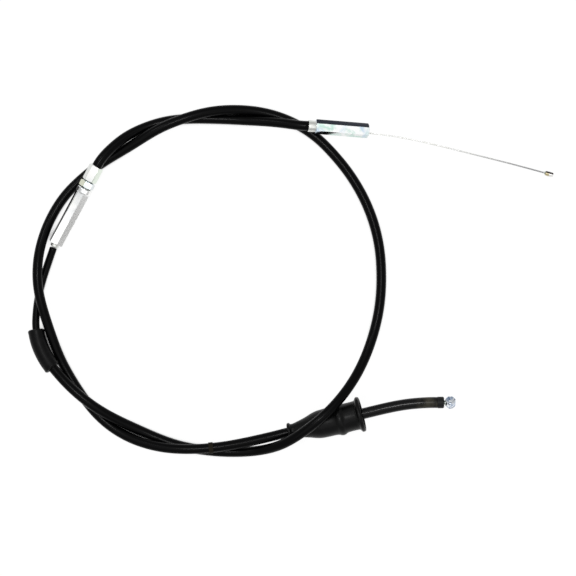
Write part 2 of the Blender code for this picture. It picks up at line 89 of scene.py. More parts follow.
def easedLine(points, reach, step):
    table = np.array([tuple(point) for point in evenLine(points, step)])
    widest = round(3 * reach / step)
    soft = table.copy()
    for index in range(1, len(table) - 1):
        half = min(index, len(table) - 1 - index, widest)
        offsets = np.arange(-half, half + 1)
        weights = np.exp(-0.5 * (offsets * step / (reach * half / widest)) ** 2)
        soft[index] = weights @ table[index - half:index + half + 1] / weights.sum()
    return [Vector(row) for row in soft.tolist()]


def lineLength(points):
    return sum((b - a).length for a, b in zip(points, points[1:]))


class Num:  # a socket that takes part in arithmetic
    def __init__(self, finish, socket):
        self.finish = finish
        self.socket = socket

    def sum(self, operation, *others):
        made = self.finish.node("ShaderNodeMath", {"operation": operation}, dict(enumerate((self, *others))))
        return Num(self.finish, made.outputs[0])

    def __add__(self, other):
        return self.sum("ADD", other)

    def __mul__(self, other):
        return self.sum("MULTIPLY", other)

    def __sub__(self, other):
        return self.sum("SUBTRACT", other)

    def __rsub__(self, other):
        return self.sum("MULTIPLY_ADD", -1.0, other)

    __radd__ = __add__
    __rmul__ = __mul__

    def between(self, low, high):
        settings = {"interpolation_type": "SMOOTHSTEP", "clamp": True}
        values = {"Value": self, "From Min": low, "From Max": high}
        made = self.finish.node("ShaderNodeMapRange", settings, values)
        return Num(self.finish, made.outputs["Result"])


class Finish:  # one material, with short ways to make its nodes
    def __init__(self, name, **constants):
        self.material = bpy.data.materials.new(name)
        self.material.use_nodes = True
        self.tree = self.material.node_tree
        self.shader = self.tree.nodes["Principled BSDF"]
        self.feed(self.shader, constants)
        self.coords = self.node("ShaderNodeTexCoord")

    def feed(self, node, values):
        for key, value in values.items():
            socket = node.inputs[key.replace("_", " ") if isinstance(key, str) else key]
            if isinstance(value, Num):
                self.tree.links.new(value.socket, socket)
            elif isinstance(value, bpy.types.NodeSocket):
                self.tree.links.new(value, socket)
            elif socket.type == "RGBA" and len(value) == 3:
                socket.default_value = (*value, 1.0)
            else:
                socket.default_value = value

    def node(self, kind, settings=None, inputs=None):
        made = self.tree.nodes.new(kind)
        for key, value in (settings or {}).items():
            setattr(made, key, value)
        self.feed(made, inputs or {})
        return made

    def noise(self, scale, detail=2.0, rough=0.5, stretch=(1, 1, 1), warp=0.0):
        placed = self.node("ShaderNodeMapping", {}, {
            "Vector": self.coords.outputs["Object"], "Scale": stretch})
        made = self.node("ShaderNodeTexNoise", {}, {
            "Vector": placed.outputs[0], "Scale": scale, "Detail": detail,
            "Roughness": rough, "Distortion": warp})
        return Num(self, made.outputs[0])

    def place(self):
        made = self.node("ShaderNodeSeparateXYZ", {}, {0: self.coords.outputs["Object"]})
        return [Num(self, made.outputs[index]) for index in range(3)]

    def facing(self, direction):
        made = self.node("ShaderNodeVectorMath", {"operation": "DOT_PRODUCT"}, {
            0: self.coords.outputs["Normal"], 1: direction})
        return Num(self, made.outputs["Value"])

    def mix(self, share, first, second):
        made = self.node("ShaderNodeMix", {"data_type": "RGBA"}, {0: share, 6: first, 7: second})
        return made.outputs[2]

    def bump(self, height, strength, depth):
        made = self.node("ShaderNodeBump", {}, {"Height": height, "Strength": strength, "Distance": depth})
        self.feed(self.shader, {"Normal": made.outputs[0]})

    def show(self, **values):
        self.feed(self.shader, values)
        return self.material


def makeFinishes():
    made = {}

    f = Finish("conduitJacket", Specular_IOR_Level=0.065)
    broad, fine, scuffs = f.noise(60, 3), f.noise(900, 3, 0.6), f.noise(1400, 2, 0.5, (1, 1, 0.25))
    wear = scuffs.between(0.62, 0.72) * broad.between(0.5, 0.7)
    colour = f.mix(wear * 0.6, (0.0010, 0.0010, 0.0012), (0.008, 0.008, 0.008))
    f.bump(fine * 0.35 + broad * 0.65, 0.02, 0.2 * mm)
    made["conduitJacket"] = f.show(Base_Color=colour, Roughness=0.20 + broad * 0.06 + wear * 0.2)

    f = Finish("bootRubber", Specular_IOR_Level=0.12)
    broad, grain, dust = f.noise(90, 4, 0.6), f.noise(2200, 3, 0.65), f.noise(420, 5, 0.7)
    powder = dust.between(0.52, 0.75) * broad.between(0.4, 0.65)
    colour = f.mix(powder * 0.5, (0.0022, 0.0022, 0.0023), (0.012, 0.012, 0.012))
    f.bump(grain * 0.5 + dust * 0.5, 0.35, 0.12 * mm)
    made["bootRubber"] = f.show(Base_Color=colour, Roughness=0.32 + powder * 0.25)

    f = Finish("coverRubber", Specular_IOR_Level=0.1)
    broad, grain = f.noise(120, 4, 0.6), f.noise(2400, 3, 0.6)
    powder = broad.between(0.5, 0.75)
    colour = f.mix(powder * 0.4, (0.002, 0.002, 0.0022), (0.008, 0.008, 0.009))
    f.bump(grain, 0.3, 0.1 * mm)
    made["coverRubber"] = f.show(Base_Color=colour, Roughness=0.36 + powder * 0.2)

    f = Finish("pipePaint", Specular_IOR_Level=0.16)
    broad, fine = f.noise(110, 3), f.noise(700, 3, 0.6)
    chips = f.noise(380, 4, 0.6, (1, 1, 1)).between(0.66, 0.7)
    # painted reflection: a lighter brown tone in broad patches on the pipe's right end, from x 0.076 to 0.084 m
    # onwards
    paleEndReflection = f.place()[0].between(0.076, 0.084) * broad.between(0.35, 0.6)
    colour = f.mix(chips * 0.5, (0.002, 0.002, 0.0022), (0.02, 0.016, 0.012))
    colour = f.mix(paleEndReflection * 0.8, colour, (0.05, 0.045, 0.033))
    f.bump(fine * 0.3 + broad * 0.7, 0.03, 0.25 * mm)
    made["pipePaint"] = f.show(Base_Color=colour, Roughness=0.14 + broad * 0.10 + chips * 0.3)

    f = Finish("sealRubber", Specular_IOR_Level=0.2)
    grain = f.noise(1800, 3, 0.6)
    f.bump(grain, 0.3, 0.1 * mm)
    colour = f.mix(grain, (0.0015, 0.0015, 0.0015), (0.006, 0.006, 0.006))
    made["sealRubber"] = f.show(Base_Color=colour, Roughness=0.4 + grain * 0.2)

    def zinc(name, plain, tint, second, rough, mottle, paintedFacetLight=()):
        # each facet, given by its direction, has a tone of its own, fitted to the photograph: these tones are
        # painted reflections, dark on some facets and light on others
        f = Finish(name, Metallic=1.0)
        cloud, cast = f.noise(150, 5, 0.6, warp=0.6), f.noise(95, 3, 0.5, warp=1.0)
        drawn, grain = f.noise(500, 4, 0.7, (0.18, 1, 1)), f.noise(2600, 2)
        colour = f.mix(cloud.between(0.44, 0.62) * mottle, plain, tint)
        colour = f.mix(cast.between(0.50, 0.64) * mottle, colour, second)
        for facing, paintedTone in paintedFacetLight:
            colour = f.mix(f.facing(facing).between(0.75, 0.88), colour, paintedTone)
        pits = grain.between(0.70, 0.78)
        colour = f.mix(pits * 0.5, colour, (0.30, 0.31, 0.28))
        f.bump(drawn * 0.6 + grain * 0.4, 0.03, 0.08 * mm)
        return f.show(Base_Color=colour, Roughness=rough + drawn * 0.06 + pits * 0.12)

    made["ferruleZinc"] = zinc(
        "ferruleZinc", (0.78, 0.79, 0.79), (0.40, 0.60, 0.52), (0.46, 0.57, 0.68), 0.11, 0.85,
        [((0.158, 0.79, 0.588), (0.010, 0.014, 0.024))])  # copies a dark reflection, not a real colour
    # painted reflections on two facets: a lighter greenish tone on one, a darker grey on the other
    made["headZinc"] = zinc(
        "headZinc", (0.80, 0.80, 0.79), (0.72, 0.76, 0.74), (0.70, 0.72, 0.74), 0.12, 0.5,
        [((0.708, -0.453, 0.541), (0.76, 0.82, 0.74)), ((-0.806, 0.383, 0.451), (0.70, 0.71, 0.69))])
    # painted reflections on two facets: the first dark, the second a lighter painted highlight
    made["barrelZinc"] = zinc(  # its first facet copies a dark reflection too
        "barrelZinc", (0.94, 0.94, 0.93), (0.74, 0.76, 0.72), (0.70, 0.72, 0.74), 0.22, 0.5,
        [((-0.854, 0.429, 0.290), (0.03, 0.03, 0.03)), ((0.607, -0.414, 0.677), (0.96, 0.96, 0.95))])
    # one facet carries a painted reflection, a darker yellowish tone
    made["nutZinc"] = zinc(
        "nutZinc", (0.70, 0.73, 0.74), (0.52, 0.66, 0.62), (0.55, 0.63, 0.74), 0.13, 0.6,
        [((-0.667, 0.278, 0.690), (0.64, 0.66, 0.54))])
    made["capZinc"] = zinc("capZinc", (0.74, 0.75, 0.72), (0.60, 0.64, 0.60), (0.62, 0.62, 0.60), 0.32, 0.5)

    f = Finish("nippleSilver", Metallic=1.0)
    cloud, darkBlueSpots = f.noise(420, 3, 0.5, warp=0.8), f.noise(700, 2)
    colour = f.mix(cloud.between(0.5, 0.62), (0.80, 0.84, 0.88), (0.30, 0.38, 0.52))
    # dark blue spots laid by noise
    colour = f.mix(darkBlueSpots.between(0.58, 0.66), colour, (0.03, 0.05, 0.14))
    f.bump(cloud, 0.15, 0.1 * mm)
    made["nippleSilver"] = f.show(Base_Color=colour, Roughness=0.18 + darkBlueSpots * 0.15)

    f = Finish("nippleBrass", Metallic=1.0)
    cloud, grain = f.noise(700, 4, 0.6), f.noise(2600, 2)
    colour = f.mix(cloud, (0.62, 0.54, 0.33), (0.42, 0.37, 0.22))
    # painted highlight: the nipple's right end is pale
    colour = f.mix(f.place()[0].between(0.1608, 0.1618), colour, (0.90, 0.89, 0.87))
    # painted shade: the side facing (0.23, 0.93, 0.28) in object space is dark
    colour = f.mix(f.facing((0.23, 0.93, 0.28)).between(0.15, 0.6), colour, (0.07, 0.06, 0.06))
    f.bump(grain, 0.2, 0.08 * mm)
    made["nippleBrass"] = f.show(Base_Color=colour, Roughness=0.34 + cloud * 0.2)

    f = Finish("wireSteel", Metallic=0.7)
    cloud, grain = f.noise(500, 4, 0.6), f.noise(4000, 2)
    colour = f.mix(cloud.between(0.35, 0.7), (0.95, 0.95, 0.94), (0.80, 0.80, 0.76))
    right = f.place()[0].between(0.08, 0.155)  # darker towards its nipple
    colour = f.mix(right * 0.9, colour, (0.28, 0.28, 0.29))
    f.bump(grain, 0.15, 0.05 * mm)
    made["wireSteel"] = f.show(Base_Color=colour, Roughness=0.30 + cloud * 0.15)

    f = Finish("solder", Metallic=1.0)
    cloud = f.noise(900, 4, 0.6)
    f.bump(cloud, 0.4, 0.15 * mm)
    colour = f.mix(cloud, (0.66, 0.70, 0.65), (0.40, 0.45, 0.40))
    made["solder"] = f.show(Base_Color=colour, Roughness=0.34 + cloud * 0.2)

    f = Finish("bandOlive", Specular_IOR_Level=0.1)
    cloud, grain = f.noise(600, 4, 0.6), f.noise(3000, 2)
    f.bump(grain, 0.3, 0.08 * mm)
    colour = f.mix(cloud, (0.013, 0.010, 0.005), (0.007, 0.006, 0.003))
    made["bandOlive"] = f.show(Base_Color=colour, Roughness=0.6 + cloud * 0.15)
    return made


finishes = makeFinishes()
print("finishes made:", len(finishes))


def addObject(name, mesh, sharp=32.0):
    mesh.shade_smooth()
    mesh.set_sharp_from_angle(angle=math.radians(sharp))
    made = bpy.data.objects.new(name, mesh)
    bpy.context.scene.collection.objects.link(made)
    return made


def fromShape(name, shape, place, sharp=32.0):
    bmesh.ops.recalc_face_normals(shape, faces=shape.faces)
    bmesh.ops.transform(shape, matrix=place, verts=shape.verts)
    mesh = bpy.data.meshes.new(name)
    shape.to_mesh(mesh)
    shape.free()
    return addObject(name, mesh, sharp)


def settled(made):  # its modifiers become its mesh
    mesh = bpy.data.meshes.new_from_object(made.evaluated_get(bpy.context.evaluated_depsgraph_get()))
    name = made.name
    made.modifiers.clear()
    made.data = mesh
    mesh.name = name
    return made


def roundedProfile(corners, fine=4):  # (radius, station, rounding) in mm
    found = []
    count = len(corners)
    for index, (radius, station, rounding) in enumerate(corners):
        here = Vector((radius, station))
        if rounding <= 0 or index in (0, count - 1):
            found.append(here)
            continue
        before, after = Vector(corners[index - 1][:2]), Vector(corners[index + 1][:2])
        into = here + (before - here).normalized() * min(rounding, (before - here).length / 2.01)
        out = here + (after - here).normalized() * min(rounding, (after - here).length / 2.01)
        for share in np.linspace(0, 1, fine + 1):
            found.append(into.lerp(here, share).lerp(here.lerp(out, share), share))
    return [point * mm for point in found]


def turned(name, profile, place, steps=64, sharp=32.0):
    shape = bmesh.new()
    knots = [shape.verts.new((point[0], 0.0, point[1])) for point in profile]
    edges = [shape.edges.new(pair) for pair in zip(knots, knots[1:])]
    bmesh.ops.spin(shape, geom=knots + edges, axis=(0, 0, 1), cent=(0, 0, 0), angle=2 * math.pi, steps=steps,
                   use_merge=True)
    bmesh.ops.remove_doubles(shape, verts=shape.verts, dist=1e-6)
    bmesh.ops.dissolve_degenerate(shape, edges=shape.edges, dist=1e-8)
    return fromShape(name, shape, place, sharp)


def carve(made, tool, operation):
    step = made.modifiers.new("carve", "BOOLEAN")
    step.operation = operation
    step.solver = "EXACT"
    step.object = tool
    settled(made)
    bpy.data.objects.remove(tool)
    return made


def hexBar(name, start, end, flats, lowChamfer, highChamfer, place):
    corner = flats / math.sqrt(3)
    shape = bmesh.new()
    bmesh.ops.create_cone(shape, cap_ends=True, segments=6, radius1=corner * mm, radius2=corner * mm,
                          depth=(end - start) * mm)
    bmesh.ops.translate(shape, verts=shape.verts, vec=(0, 0, (start + end) / 2 * mm))
    bar = fromShape(name, shape, place)
    reach = corner + 0.3
    lowRadius, highRadius = flats / 2 - lowChamfer * 0.35, flats / 2 - highChamfer * 0.35
    slope = 0.6
    outline = [
        (0.0, start - 1, 0), (lowRadius - 1 / slope * 0.35, start - 0.2, 0),
        (reach, start + (reach - lowRadius) * slope, 0),
        (reach, end - (reach - highRadius) * slope, 0), (highRadius - 1 / slope * 0.35, end + 0.2, 0),
        (0.0, end + 1, 0),
    ]
    return carve(bar, turned("tool", roundedProfile(outline), place, 96), "INTERSECT")


def softEdges(made, width, segments=2, angle=28.0):
    step = made.modifiers.new("edges", "BEVEL")
    step.width = width * mm
    step.segments = segments
    step.limit_method = "ANGLE"
    step.angle_limit = math.radians(angle)
    step.harden_normals = False
    step.use_clamp_overlap = True
    settled(made)
    made.data.shade_smooth()
    made.data.set_sharp_from_angle(angle=math.radians(38))
    return made


def tube(name, path, radius, rounding=7, sizes=None, section=None, twist=0.0):
    data = bpy.data.curves.new(name + "Line", "CURVE")
    data.dimensions = "3D"
    data.use_fill_caps = True
    data.twist_mode = "MINIMUM"
    if section:
        data.bevel_mode = "OBJECT"
        data.bevel_object = section
    else:
        data.bevel_depth = radius
        data.bevel_resolution = rounding
    line = data.splines.new("POLY")
    line.points.add(len(path) - 1)
    gone = 0.0
    for index, (knot, point) in enumerate(zip(line.points, path)):
        knot.co = (*point, 1.0)
        if index:
            gone += (path[index] - path[index - 1]).length
        knot.tilt = twist * gone
        knot.radius = sizes[index] if sizes else 1.0
    source = bpy.data.objects.new(name + "Line", data)
    bpy.context.scene.collection.objects.link(source)
    mesh = bpy.data.meshes.new_from_object(source.evaluated_get(bpy.context.evaluated_depsgraph_get()))
    bpy.data.objects.remove(source)
    shape = bmesh.new()
    shape.from_mesh(mesh)
    bmesh.ops.remove_doubles(shape, verts=shape.verts, dist=1e-6)
    bmesh.ops.recalc_face_normals(shape, faces=shape.faces)
    shape.to_mesh(mesh)
    shape.free()
    mesh.name = name
    return addObject(name, mesh, 50.0)


def ropeSection(name, radius, strands, fine=7):
    data = bpy.data.curves.new(name, "CURVE")
    data.dimensions = "2D"
    thick = radius / 3
    line = data.splines.new("POLY")
    line.points.add(strands * fine - 1)
    for index, knot in enumerate(line.points):
        angle = 2 * math.pi * index / (strands * fine)
        off = (angle + math.pi / strands) % (2 * math.pi / strands) - math.pi / strands
        across = 2 * thick * math.sin(off)
        reach = 2 * thick * math.cos(off) + math.sqrt(max(thick ** 2 - across ** 2, 0.0))
        knot.co = (reach * math.cos(angle), reach * math.sin(angle), 0, 1)
    line.use_cyclic_u = True
    made = bpy.data.objects.new(name, data)
    bpy.context.scene.collection.objects.link(made)
    return made


def strandedWire(name, path, radius, strands, lay):
    section = ropeSection(name + "Section", radius, strands)
    made = tube(name, path, radius, section=section, twist=2 * math.pi / lay)
    bpy.data.objects.remove(section)
    return made


def dress(made, body, finish, nodes=()):
    made.data.materials.clear()
    made.data.materials.append(finishes[finish])
    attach(made, body)
    if nodes:
        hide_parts(*nodes)
    return made


viewing = {"height": 1.8, "centre": (288.0, 288.0, 0.0), "span": 576, "focus": 6.0}
lighting = {
    "key": {"at": (-0.9, 0.9, 1.5), "size": (0.3, 0.3), "power": 2.5},
    "fill": {"at": (0.9, -0.7, 1.3), "size": (0.7, 0.7), "power": 1.5},
    "top": {"at": (-0.10, 0.12, 1.75), "size": (0.16, 0.16), "power": 5.5},
    "box": {"at": (-0.25, 0.0, 2.2), "size": (3.4, 2.4), "power": 15.5},
    "sky": 0.6,
}
ground = {"bounce": 0.85, "seen": 0.10, "glow": 0.93, "slit": 5 * mm}


def setStage():
    centre = spot(viewing["centre"])
    lens = bpy.data.cameras.new("camera")
    lens.sensor_width = 36.0
    lens.lens = 36.0 * (viewing["height"] - viewing["focus"] * mm) / (viewing["span"] * unit)
    lens.clip_start, lens.clip_end = 0.05, 20.0
    camera = bpy.data.objects.new("camera", lens)
    camera.location = (centre.x, centre.y, viewing["height"])
    bpy.context.scene.collection.objects.link(camera)
    bpy.context.scene.camera = camera

    for name in ("key", "fill", "top", "box"):
        facts = lighting[name]
        lamp = bpy.data.lights.new(name, "AREA")
        lamp.shape = "RECTANGLE"
        lamp.size, lamp.size_y = facts["size"]
        lamp.energy = facts["power"]
        holder = bpy.data.objects.new(name, lamp)
        holder.location = facts["at"]
        holder.rotation_euler = (spot((288, 288, 0)) - holder.location).to_track_quat("-Z", "Y").to_euler()
        bpy.context.scene.collection.objects.link(holder)

    world = bpy.data.worlds.new("sky")
    world.use_nodes = True
    bpy.context.scene.world = world
    world.node_tree.nodes["Background"].inputs["Color"].default_value = (1, 1, 1, 1)
    world.node_tree.nodes["Background"].inputs["Strength"].default_value = lighting["sky"]

    shape = bmesh.new()
    bmesh.ops.create_grid(shape, x_segments=1, y_segments=1, size=6.0)
    floor = fromShape("floor", shape, Matrix.Identity(4))
    f = Finish("floorWhite", Specular_IOR_Level=0.0, Roughness=1.0, Emission_Strength=1.0)
    rays = f.node("ShaderNodeLightPath").outputs
    seen = Num(f, rays["Is Camera Ray"])
    for kind in ("Is Glossy Ray", "Is Transmission Ray"):
        seen = seen.sum("MAXIMUM", rays[kind])
    closed = f.node("ShaderNodeAmbientOcclusion", {"samples": 12}, {"Distance": ground["slit"]})
    openSky = Num(f, closed.outputs["AO"]).between(0.25, 0.6)  # painted shade: ambient occlusion dims the floor's glow, so narrow slits between strands stay dark
    bounce, shown, glow = [(ground[key],) * 3 for key in ("bounce", "seen", "glow")]
    floor.data.materials.append(f.show(
        Base_Color=f.mix(seen, bounce, shown), Emission_Color=f.mix(seen * openSky, (0, 0, 0), glow)))
    bpy.context.scene.view_settings.view_transform = "Standard"


setStage()
print("stage set")


carbRoute = [
    (308.6, 126.4, 11.12), (300.0, 125.9, 10.9), (288.0, 124.2, 9.8), (276.9, 122.5, 8.0), (266.0, 121.5, 6.3),
    (254.0, 120.7, 4.5), (240.0, 119.8, 3.3), (226.0, 119.0, 3.05), (213.7, 118.7, 3.05), (202.0, 118.4, 3.05),
    (190.0, 118.3, 3.05), (178.0, 119.0, 3.05), (165.0, 120.7, 3.05), (154.6, 123.4, 3.05), (144.7, 127.1, 3.4),
    (137.0, 130.2, 4.2), (129.9, 133.8, 5.6), (118.5, 142.0, 8.3), (108.8, 151.2, 10.5), (101.8, 159.4, 11.4),
    (98.6, 164.4, 11.35), (96.0, 169.2, 11.1),
]
thinRoute = [
    (53.3, 247.7, 5.05), (51.6, 252.4, 4.4), (48.8, 260.0, 3.2), (45.6, 269.0, 2.4), (41.8, 281.0, 2.3),
    (38.6, 293.5, 2.5), (36.6, 306.0, 3.5),
]
mainRoute = [
    (62.4, 378.7, 9.0), (68.0, 384.5, 9.4), (75.0, 391.0, 9.7), (83.0, 398.0, 9.8), (92.0, 404.8, 9.6),
    (101.6, 411.2, 8.6), (112.0, 417.3, 7.0), (123.0, 422.8, 5.0), (136.0, 429.0, 3.5), (150.2, 435.4, 3.05),
    (166.0, 441.9, 3.05), (182.0, 446.9, 3.05), (195.0, 449.2, 3.05), (210.0, 451.3, 3.05),
    (225.0, 452.4, 3.05),
    (240.0, 452.3, 3.2), (251.3, 451.9, 4.0), (262.0, 450.2, 6.4), (272.0, 447.8, 9.9), (281.0, 444.6, 13.6),
    (290.0, 439.9, 17.0), (301.5, 432.1, 20.0), (309.0, 426.8, 21.5), (316.6, 420.8, 22.0),
    (324.6, 413.9, 21.7),
    (334.0, 404.6, 20.0), (341.4, 396.2, 17.4), (348.6, 386.9, 14.2), (355.1, 377.3, 11.2), (363.8, 360.8, 7.2),
    (370.0, 345.4, 4.8), (374.8, 330.2, 3.5), (378.4, 315.0, 3.05), (380.6, 300.0, 3.05), (381.6, 283.0, 3.05),
    (381.4, 267.0, 3.05), (380.5, 253.0, 3.05), (378.3, 239.5, 3.05), (374.6, 224.6, 3.05),
    (369.5, 210.0, 3.05),
    (361.8, 193.4, 3.05), (352.4, 177.7, 3.05), (343.2, 165.0, 3.05), (333.1, 153.4, 3.05),
    (323.0, 142.5, 3.05),
    (311.9, 133.1, 3.05), (299.1, 125.1, 3.05), (287.0, 119.3, 3.05), (274.3, 114.7, 3.05), (264.0, 112.2, 3.2),
    (254.4, 110.6, 3.5), (245.0, 109.8, 4.2), (235.0, 109.5, 5.2), (225.0, 109.8, 6.4), (215.3, 110.8, 7.7),
    (204.0, 112.8, 9.0), (194.0, 115.6, 9.7), (181.0, 119.9, 9.9), (168.0, 124.8, 9.8), (158.0, 129.3, 9.5),
    (148.4, 134.9, 8.6), (141.0, 139.6, 7.4), (134.4, 143.7, 6.1), (124.0, 149.7, 4.2), (113.0, 155.9, 3.2),
    (104.0, 161.2, 3.05), (97.0, 165.9, 3.05), (89.0, 172.0, 3.05), (81.4, 178.7, 3.05), (74.6, 184.6, 3.05),
    (68.0, 191.2, 3.05), (61.4, 199.3, 3.05), (55.7, 208.3, 3.1), (50.6, 217.4, 3.5), (46.6, 226.6, 4.2),
    (42.6, 238.0, 5.7), (39.6, 250.1, 7.2), (37.9, 261.0, 8.2), (37.3, 272.0, 8.6), (37.8, 285.0, 8.7),
    (39.8, 297.0, 8.5), (42.4, 306.6, 8.1), (44.9, 315.4, 7.4), (48.1, 325.6, 6.3), (51.5, 335.9, 5.2),
    (56.0, 349.2, 3.9), (60.0, 359.4, 3.3), (64.3, 367.7, 3.05), (69.4, 376.7, 3.05), (76.0, 387.4, 3.05),
    (83.0, 397.9, 3.05), (90.0, 407.2, 3.05), (97.5, 415.7, 3.05), (107.0, 424.4, 3.15), (117.7, 431.8, 3.5),
    (131.0, 438.8, 4.6), (146.0, 443.9, 6.6), (158.0, 446.7, 8.3), (170.0, 448.3, 9.5), (182.0, 448.9, 10.0),
    (195.0, 448.9, 10.1), (207.0, 448.0, 10.0), (220.0, 446.7, 9.8), (234.0, 444.5, 9.4), (249.3, 441.4, 8.9),
    (266.0, 437.7, 8.3), (279.0, 434.6, 7.9), (288.0, 432.2, 7.8),
]
coverArc = {"centre": (109.5, 319.6, 6.8), "radius": 46.4 * mm,
            "chord": (0.41, -0.912), "tilt": math.radians(6.3)}
bootAxis = {"start": 288.3, "slope": -0.25, "rise": 0.0486}
# the jacket is drawn larger by the rim, which the pale floor eats
conduit = {"radius": 3.0 * mm, "thin": 2.25 * mm, "step": 2.0 * mm, "rim": 0.1 * mm}


def arcPoint(degrees):
    angle = math.radians(degrees)
    chord = Vector((*coverArc["chord"], 0)).normalized()
    inward = Vector((-chord.y, chord.x, 0))
    along = chord * math.cos(coverArc["tilt"]) + Vector((0, 0, math.sin(coverArc["tilt"])))
    return spot(coverArc["centre"]) + coverArc["radius"] * (along * math.sin(angle) - inward * math.cos(angle))


def bootPoint(across):
    down = 413.0 + bootAxis["slope"] * (across - 364.0)
    return spot((across, down, 11.3 + bootAxis["rise"] * (across - 360.0)))


carbLine = easedLine(smoothLine([spot(point) for point in carbRoute]), 6 * mm, 1 * mm)
thinKnots = [spot(point) for point in thinRoute] + [arcPoint(angle) for angle in (-20, -15, -10, -5.5, -1.2)]
thinLine = easedLine(smoothLine(thinKnots), 3 * mm, 1 * mm)
mainKnots = [arcPoint(angle) for angle in (0, 5, 10, 15, 20)] + [spot(point) for point in mainRoute]
mainKnots += [bootPoint(across) for across in (297.0, 306.0, 317.2)]
mainLine = easedLine(smoothLine(mainKnots), 6 * mm, 1 * mm)


def layConduit(name, line, radius, node):
    path = evenLine(line, conduit["step"])
    ends = 0.35 * mm
    path = [path[0], path[0].lerp(path[1], 0.2), *path[1:-1], path[-1].lerp(path[-2], 0.2), path[-1]]
    sizes = [1 - ends / radius] + [1.0] * (len(path) - 2) + [1 - ends / radius]
    made = tube(name, path, radius + conduit["rim"], sizes=sizes)
    dress(made, "root", "conduitJacket", [node])
    print(name, "is", round(lineLength(line) * 1000, 1), "mm long")


layConduit("conduitMain", mainLine, conduit["radius"], "conduit_main")
layConduit("conduitCarbSide", carbLine, conduit["radius"], "conduit_carb_side")
layConduit("conduitThin", thinLine, conduit["thin"], "conduit_thin")

band = {"across": 210.7, "radius": 3.13, "thick": 0.4, "width": 2.8}
bandX = spot((band["across"], 0, 0)).x
bandAt = next(index for index, point in enumerate(mainLine) if index > 600 and point.x > bandX)
half, outer = band["width"] / 2, band["radius"] + band["thick"]
ring = [(band["radius"], -half, 0), (outer, -half, 0.16), (outer, half, 0.16), (band["radius"], half, 0),
        (band["radius"], -half, 0)]
dress(turned("markerBand", roundedProfile(ring), axisPlace(mainLine[bandAt], mainLine[bandAt + 2])),
      "root", "bandOlive", ["marker_band"])


cover = {"half": 16.5, "outer": 5.15, "bore": 3.25, "lip": 0.7}


def makeCover():
    degrees = [-cover["half"] + 2 * cover["half"] * index / 40 for index in range(41)]
    path = [arcPoint(angle) for angle in degrees]
    arc = math.radians(2 * cover["half"]) * coverArc["radius"] / mm
    sizes = []
    for index in range(41):
        fromEnd = min(index, 40 - index) / 40 * arc
        lip = 0.12 * math.exp(-((fromEnd - 1.0) / 0.8) ** 2)
        edge = min(1.0, fromEnd / cover["lip"])
        trim = cover["lip"] * (1 - math.sqrt(1 - (1 - edge) ** 2))
        sizes.append((cover["outer"] - trim + lip) / cover["outer"])
    made = tube("adjusterCover", path, cover["outer"] * mm, 10, sizes)
    long = [arcPoint(angle) for angle in np.linspace(-cover["half"] - 4, cover["half"] + 4, 41)]
    carve(made, tube("tool", long, cover["bore"] * mm, 10), "DIFFERENCE")
    softEdges(made, 0.15, 2, 40)
    return dress(made, "cover", "coverRubber", ["adjuster_cover"])


makeCover()
print("conduits, band and cover made")


ferrule = {"left": (315.0, 126.87, 10.45), "right": (369.0, 130.7, 4.75), "length": 34.0, "flats": 8.0,
           "roll": math.radians(37), "socket": 2.4, "bore": 1.6, "cap": 3.3, "collar": 3.6, "capShown": 4.4}


def makeFerrule():
    place = axisPlace(spot(ferrule["left"]), spot(ferrule["right"]), ferrule["roll"])
    long = ferrule["length"]
    bar = hexBar("carbFerrule", 0.0, long, ferrule["flats"], 0.9, 0.9, place)
    hole = [(0, -1, 0), (ferrule["cap"] + 0.1, -1, 0), (ferrule["cap"] + 0.1, 8.3, 0),
            (ferrule["bore"], 8.3, 0), (ferrule["bore"], long - 4.5, 0),
            (ferrule["socket"], long - 3.5, 0), (ferrule["socket"], long - 0.35, 0),
            (ferrule["socket"] + 0.4, long + 0.05, 0), (ferrule["socket"] + 0.4, long + 1, 0),
            (0, long + 1, 0)]
    carve(bar, turned("tool", roundedProfile(hole), place, 48), "DIFFERENCE")
    softEdges(bar, 0.16, 2)
    dress(bar, "root", "ferruleZinc", ["carb_ferrule"])
    wide, collar, shown = ferrule["cap"], ferrule["collar"], ferrule["capShown"]
    inner = conduit["radius"] / mm + 0.2
    cap = [(ferrule["bore"], -2.9, 0), (inner, -2.9, 0), (inner, -shown, 0.1), (collar, -shown, 0.3),
           (collar, 0.25, 0.2), (wide, 0.3, 0), (wide, 8.0, 0.3), (ferrule["bore"], 8.0, 0),
           (ferrule["bore"], -2.9, 0)]
    endCap = turned("ferruleEndCap", roundedProfile(cap), place)
    dress(endCap, "root", "capZinc", ["ferrule_end_cap"])


makeFerrule()


carbWire = {"radius": 0.48, "strands": 7, "lay": 6.0 * mm, "travel": 28.0 * mm}
carbWireRoute = [
    (366.0, 132.4, 4.6), (372.0, 133.4, 4.35), (392.0, 135.7, 3.7), (411.0, 139.2, 3.25), (433.0, 144.0, 2.85),
    (465.0, 151.9, 2.4), (488.0, 157.6, 2.15), (513.0, 163.9, 1.95), (544.2, 172.3, 1.75),
]
carbNipple = {"at": (545.7, 172.6, 1.7), "to": (554.5, 175.1, 1.67), "radius": 1.4, "length": 5.2}


